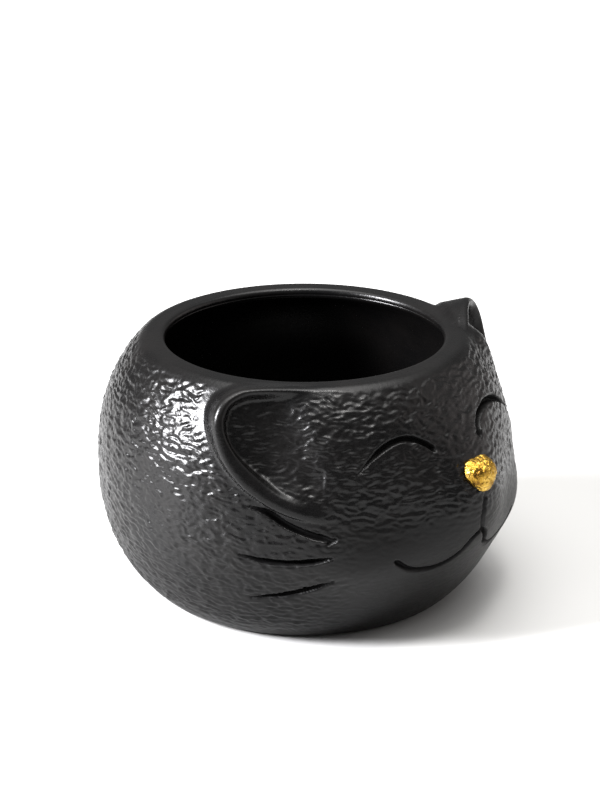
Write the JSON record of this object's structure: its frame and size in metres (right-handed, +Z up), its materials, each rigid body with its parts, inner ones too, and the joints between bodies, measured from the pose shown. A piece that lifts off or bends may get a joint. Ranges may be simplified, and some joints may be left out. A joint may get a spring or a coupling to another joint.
{
  "type": "cat head bowl",
  "caption": "Small round ceramic bowl shaped as a sleeping cat's head, with applied ears, engraved eyes, mouth and whiskers, and a gilded nose.",
  "frame": {"origin": "centre of the flat base, on the axis of the bowl", "axes": "+Z up along the bowl's axis, the cat's face and nose look along -Y, the cat's left ear is at +X"},
  "size_m": [0.1164, 0.1247, 0.0766],
  "materials": {
    "black_glaze": "satin-gloss black glaze over a fine wrinkled, leathery relief",
    "gold_leaf": "crinkled gold leaf, bright"
  },
  "bodies": {
    "root": {"bowl_body": "black_glaze", "right_ear": "black_glaze", "left_ear": "black_glaze", "nose_button": "black_glaze", "gold_leaf": "gold_leaf"}
  },
  "joints": []
}
